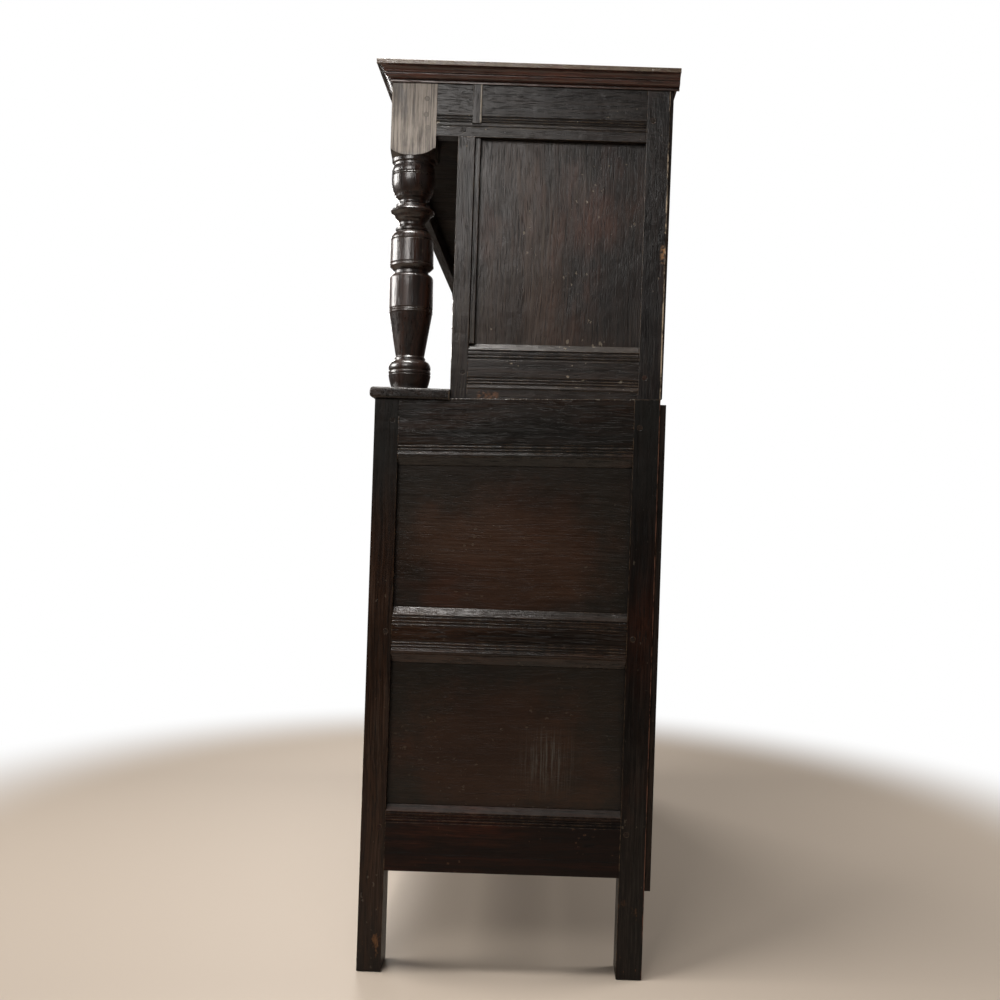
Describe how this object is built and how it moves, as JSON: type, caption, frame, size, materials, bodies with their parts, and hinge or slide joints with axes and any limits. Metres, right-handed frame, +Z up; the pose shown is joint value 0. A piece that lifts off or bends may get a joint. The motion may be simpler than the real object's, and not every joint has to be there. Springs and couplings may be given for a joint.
{
  "type": "court cupboard",
  "caption": "Joined oak court cupboard: drawers over doors below, a recessed upper cupboard with doors, and a frieze and cornice carried on turned pillars.",
  "frame": {"origin": "on the floor, under the middle of the cupboard's bounding box", "axes": "+X to the viewer's right as seen from the front, +Y towards the back, +Z up; the doors and drawers face -Y"},
  "size_m": [1.46, 0.564, 1.65],
  "materials": {
    "oak_frame": "old dark waxed polish, worn on the edges",
    "oak_panel": "old dark waxed polish",
    "oak_turned": "turned oak with a glossy dark polish",
    "oak_cornice": "glossy dark red-brown polish",
    "oak_inner": "unpolished oak darkened with age",
    "oak_peg": "oak end grain, dark"
  },
  "bodies": {
    "case": {"base_front_post_right": "oak_frame", "base_front_post_left": "oak_frame", "base_back_post_right": "oak_frame", "base_back_post_left": "oak_frame", "base_side_rails_right": "oak_frame", "base_side_rails_left": "oak_frame", "base_front_rails": "oak_frame", "base_front_muntins": "oak_frame", "ledge_board": "oak_frame", "upper_back_post_right": "oak_frame", "upper_back_post_left": "oak_frame", "upper_end_stile_right": "oak_frame", "upper_end_stile_left": "oak_frame", "upper_side_rails_right": "oak_frame", "upper_side_rails_left": "oak_frame", "frieze_front_rail": "oak_frame", "planted_strips": "oak_frame", "upper_front_rails": "oak_frame", "upper_front_muntins": "oak_frame", "base_side_panels_right": "oak_panel", "base_side_panels_left": "oak_panel", "base_centre_panels": "oak_panel", "upper_side_panel_right": "oak_panel", "upper_side_panel_left": "oak_panel", "upper_centre_panel": "oak_panel", "pillar_right": "oak_turned", "pillar_left": "oak_turned", "cornice_mouldings": "oak_cornice", "base_back_rails": "oak_inner", "base_back_boards": "oak_inner", "base_floor_boards": "oak_inner", "drawer_runners": "oak_inner", "canopy_boards": "oak_inner", "upper_floor_boards": "oak_inner", "upper_back_boards": "oak_inner", "upper_back_rails": "oak_inner", "top_boards": "oak_inner", "oak_pegs": "oak_peg"},
    "upper_door_left": {"upper_door_left_frame": "oak_frame", "upper_door_left_panel": "oak_panel"},
    "upper_door_left_turn_knob": {"upper_door_left_turn_knob": "oak_turned"},
    "upper_door_right": {"upper_door_right_frame": "oak_frame", "upper_door_right_panel": "oak_panel"},
    "upper_door_right_turn_knob": {"upper_door_right_turn_knob": "oak_turned"},
    "base_door_left": {"base_door_left_frame": "oak_frame", "base_door_left_panels": "oak_panel"},
    "base_door_left_turn_knob": {"base_door_left_turn_knob": "oak_turned"},
    "base_door_right": {"base_door_right_frame": "oak_frame", "base_door_right_panels": "oak_panel"},
    "base_door_right_turn_knob": {"base_door_right_turn_knob": "oak_turned"},
    "drawer_left": {"drawer_left_front": "oak_frame", "drawer_left_box": "oak_inner", "drawer_left_knob": "oak_turned"},
    "drawer_centre": {"drawer_centre_front": "oak_frame", "drawer_centre_box": "oak_inner", "drawer_centre_knob": "oak_turned"},
    "drawer_right": {"drawer_right_front": "oak_frame", "drawer_right_box": "oak_inner", "drawer_right_knob": "oak_turned"}
  },
  "joints": [
    {"name": "upper_door_left_hinge", "type": "hinge", "parent": "case", "child": "upper_door_left", "pos_m": [-0.595, -0.105, 1.2935], "axis": [0, 0, -1], "range_deg": [0, 90]},
    {"name": "upper_door_left_knob_turn", "type": "hinge", "parent": "upper_door_left", "child": "upper_door_left_turn_knob", "pos_m": [-0.2795, -0.117, 1.2935], "axis": [0, 1, 0], "range_deg": [0, 90]},
    {"name": "upper_door_right_hinge", "type": "hinge", "parent": "case", "child": "upper_door_right", "pos_m": [0.595, -0.105, 1.2935], "axis": [0, 0, 1], "range_deg": [0, 90]},
    {"name": "upper_door_right_knob_turn", "type": "hinge", "parent": "upper_door_right", "child": "upper_door_right_turn_knob", "pos_m": [0.2795, -0.117, 1.2935], "axis": [0, 1, 0], "range_deg": [0, 90]},
    {"name": "base_door_left_hinge", "type": "hinge", "parent": "case", "child": "base_door_left", "pos_m": [-0.635, -0.24, 0.583], "axis": [0, 0, -1], "range_deg": [0, 90]},
    {"name": "base_door_left_knob_turn", "type": "hinge", "parent": "base_door_left", "child": "base_door_left_turn_knob", "pos_m": [-0.2795, -0.252, 0.583], "axis": [0, 1, 0], "range_deg": [0, 90]},
    {"name": "base_door_right_hinge", "type": "hinge", "parent": "case", "child": "base_door_right", "pos_m": [0.635, -0.24, 0.583], "axis": [0, 0, 1], "range_deg": [0, 90]},
    {"name": "base_door_right_knob_turn", "type": "hinge", "parent": "base_door_right", "child": "base_door_right_turn_knob", "pos_m": [0.2795, -0.252, 0.583], "axis": [0, 1, 0], "range_deg": [0, 90]},
    {"name": "drawer_left_slide", "type": "slide", "parent": "case", "child": "drawer_left", "axis": [0, -1, 0], "range_m": [0, 0.33]},
    {"name": "drawer_centre_slide", "type": "slide", "parent": "case", "child": "drawer_centre", "axis": [0, -1, 0], "range_m": [0, 0.33]},
    {"name": "drawer_right_slide", "type": "slide", "parent": "case", "child": "drawer_right", "axis": [0, -1, 0], "range_m": [0, 0.33]}
  ]
}
